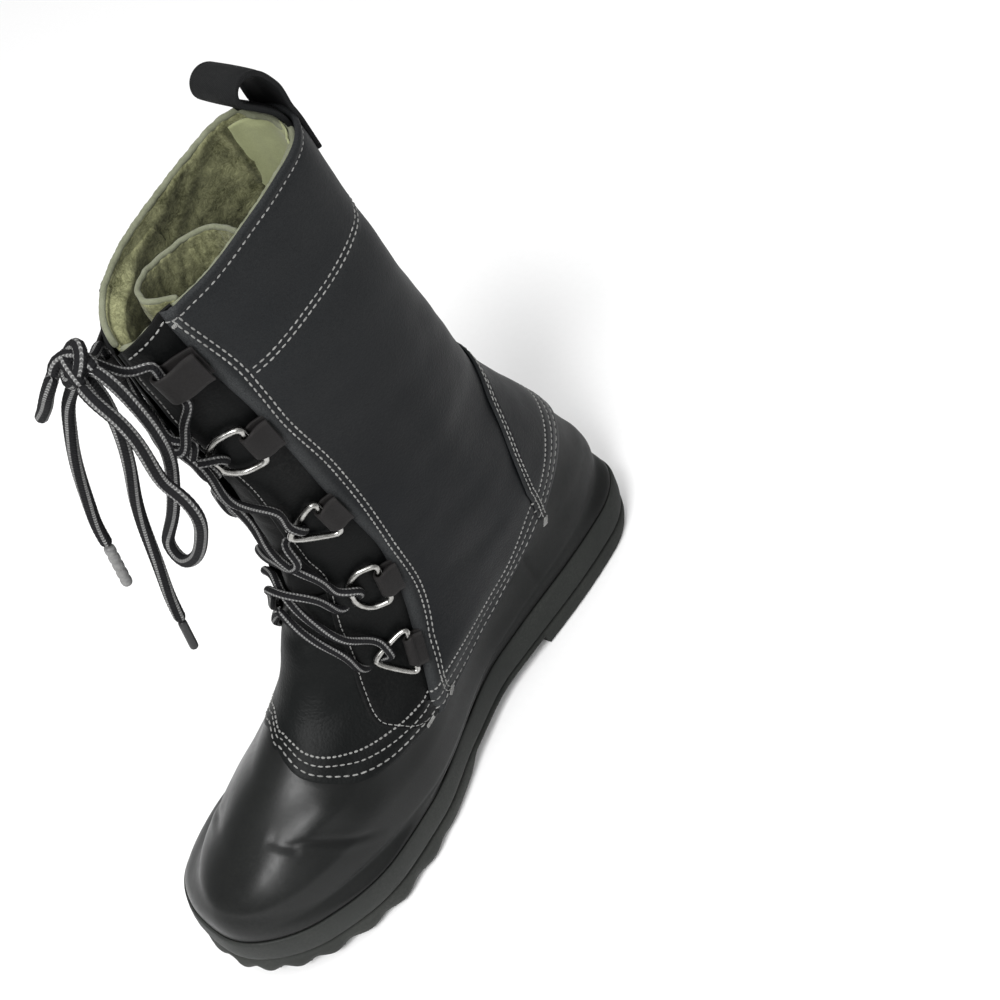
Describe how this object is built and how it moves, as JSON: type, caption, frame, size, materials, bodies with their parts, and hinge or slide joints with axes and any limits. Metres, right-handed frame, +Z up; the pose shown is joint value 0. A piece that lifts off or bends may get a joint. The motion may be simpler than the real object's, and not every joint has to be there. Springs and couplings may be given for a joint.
{
  "type": "lace-up winter pac boot",
  "caption": "Tall black leather lace-up boot on a moulded rubber shell with ring lacing, fleece lining, pull loop and lugged sole; one right boot.",
  "frame": {"origin": "middle of the sole's footprint on the floor, without the free lace ends", "axes": "+Z up the shaft, -Y towards the toe, +X towards the medial side of this right boot"},
  "size_m": [0.1011, 0.2933, 0.3262],
  "materials": {
    "shaft_leather": "black full-grain leather, soft satin with a fine grain",
    "tongue_leather": "black leather, slightly softer than the shaft",
    "shell_rubber": "moulded dark grey-black rubber, satin",
    "midsole_rubber": "moulded dark grey rubber band, satin",
    "outsole_rubber": "dark grey rubber, matt",
    "lining_fleece": "olive green pile lining, matt",
    "insole_felt": "olive felt, matt",
    "strap_webbing": "black woven strap, matt",
    "ring_steel": "bright plated steel wire",
    "lace_cloth": "black braided lace with light grey chevrons",
    "aglet_dark": "black lace tip",
    "aglet_grey": "grey lace tip",
    "stitch_thread": "light grey thread",
    "rim_felt": "pale olive cut felt edge"
  },
  "bodies": {
    "root": {"aglet_lateral": "aglet_grey", "aglet_medial": "aglet_dark", "heel_counter": "shaft_leather", "insole": "insole_felt", "lace_bar": "lace_cloth", "lace_cross_a": "lace_cloth", "lace_cross_b": "lace_cloth", "lace_cross_c": "lace_cloth", "lace_cross_d": "lace_cloth", "lace_knot": "lace_cloth", "lace_loop_long": "lace_cloth", "lace_loop_short": "lace_cloth", "lace_loop_tab_lateral": "shaft_leather", "lace_loop_tab_medial": "shaft_leather", "lace_tail_lateral": "lace_cloth", "lace_tail_medial": "lace_cloth", "lace_top": "lace_cloth", "midsole": "midsole_rubber", "outsole": "outsole_rubber", "pull_loop": "strap_webbing", "ring_lateral_a": "ring_steel", "ring_lateral_b": "ring_steel", "ring_lateral_c": "ring_steel", "ring_lateral_d": "ring_steel", "ring_medial_a": "ring_steel", "ring_medial_b": "ring_steel", "ring_medial_c": "ring_steel", "ring_medial_d": "ring_steel", "rubber_shell": "shell_rubber", "tab_lateral_a": "shaft_leather", "tab_lateral_b": "shaft_leather", "tab_lateral_c": "shaft_leather", "tab_lateral_d": "shaft_leather", "tab_medial_a": "shaft_leather", "tab_medial_b": "shaft_leather", "tab_medial_c": "shaft_leather", "tab_medial_d": "shaft_leather", "tongue": "tongue_leather", "tongue_gusset": "lining_fleece", "upper": "shaft_leather"}
  },
  "joints": []
}
